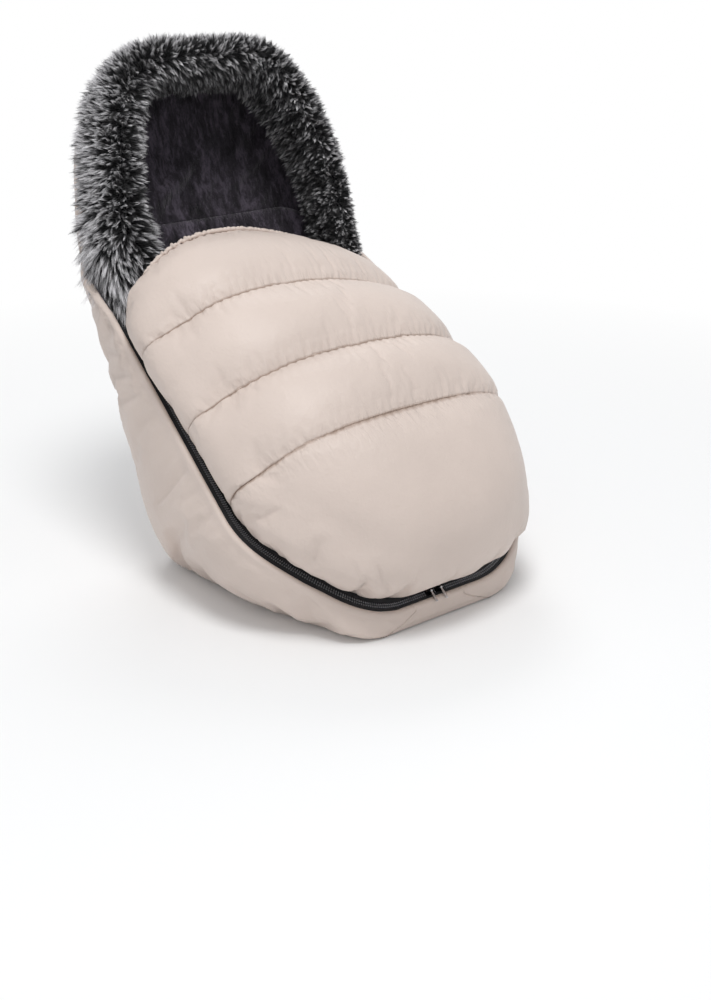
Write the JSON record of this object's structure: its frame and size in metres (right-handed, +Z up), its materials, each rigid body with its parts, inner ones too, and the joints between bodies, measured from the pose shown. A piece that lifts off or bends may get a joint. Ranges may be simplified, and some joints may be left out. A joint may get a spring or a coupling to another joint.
{
  "type": "pram footmuff",
  "caption": "Padded baby bunting bag: a deep tray with a quilted cover zipped round the feet, a folding hood with a fur trim, and harness slots and a strap at the back.",
  "frame": {"origin": "middle of the bounding box's underside, on the plane of the seat's flat base", "axes": "+Z up; +Y towards the head; -Y towards the feet; X across the bag"},
  "size_m": [0.455, 0.6356, 0.6559],
  "materials": {
    "padded_nylon": "satin quilted nylon",
    "plush_lining": "short-pile plush",
    "wadding": "fibre filling",
    "faux_fur": "long-pile faux fur, black with silver tips",
    "zip_tape": "woven tape with coil",
    "webbing": "woven webbing",
    "binding": "grosgrain",
    "grip_cloth": "coated anti-slip cloth",
    "slider_metal": "black enamel",
    "pull_metal": "bright nickel",
    "buckle_plastic": "moulded"
  },
  "bodies": {
    "tray": {"tray_base_shell": "padded_nylon", "tray_base_wadding": "wadding", "tray_back_shell": "padded_nylon", "tray_back_wadding": "wadding", "tray_left_shell": "padded_nylon", "tray_left_wadding": "wadding", "tray_right_shell": "padded_nylon", "tray_right_wadding": "wadding", "tray_lining": "plush_lining", "foot_shell": "padded_nylon", "foot_wadding": "wadding", "foot_lining": "plush_lining", "zip_tape_tray": "zip_tape", "zip_tape_foot": "zip_tape", "back_grip_patch": "grip_cloth", "strap_left": "webbing", "strap_right": "webbing", "buckle_socket": "buckle_plastic", "buckle_plug": "buckle_plastic", "shoulder_slot_binding_left": "binding", "shoulder_slot_binding_right": "binding", "crotch_slot_binding": "binding"},
    "cover": {"cover_shell": "padded_nylon", "cover_lower_wadding": "wadding", "cover_middle_wadding": "wadding", "cover_upper_wadding": "wadding", "cover_lining": "plush_lining", "cover_collar": "padded_nylon", "zip_tape_cover_left": "zip_tape", "zip_tape_cover_right": "zip_tape"},
    "hood": {"hood_shell": "padded_nylon", "hood_wadding": "wadding", "hood_lining": "plush_lining", "fur_trim": "faux_fur", "fur_backing": "binding"},
    "slider_left": {"zip_slider_left": "slider_metal"},
    "slider_right": {"zip_slider_right": "slider_metal"},
    "pull_left": {"zip_pull_left": "pull_metal"},
    "pull_right": {"zip_pull_right": "pull_metal"},
    "adjuster": {"strap_adjuster": "buckle_plastic"}
  },
  "joints": [
    {"name": "cover_fold", "type": "hinge", "parent": "tray", "child": "cover", "pos_m": [0, -0.21919, 0.2705], "axis": [1, 0, 0], "range_deg": [0, 120]},
    {"name": "hood_fold", "type": "hinge", "parent": "tray", "child": "hood", "pos_m": [0, 0.2657, 0.41537], "axis": [-1, 0, 0], "range_deg": [0, 90]},
    {"name": "zip_slide_left", "type": "slide", "parent": "tray", "child": "slider_left", "axis": [-1, 0, 0], "range_m": [0, 0.05]},
    {"name": "zip_slide_right", "type": "slide", "parent": "tray", "child": "slider_right", "axis": [1, 0, 0], "range_m": [0, 0.05]},
    {"name": "pull_swing_left", "type": "hinge", "parent": "slider_left", "child": "pull_left", "pos_m": [-0.0082, -0.26648, 0.03906], "axis": [-1, 0, 0], "range_deg": [0, 60]},
    {"name": "pull_swing_right", "type": "hinge", "parent": "slider_right", "child": "pull_right", "pos_m": [0.0082, -0.26648, 0.03906], "axis": [-1, 0, 0], "range_deg": [0, 60]},
    {"name": "adjuster_slide", "type": "slide", "parent": "tray", "child": "adjuster", "axis": [1, 0, 0], "range_m": [-0.04, 0.04]}
  ]
}
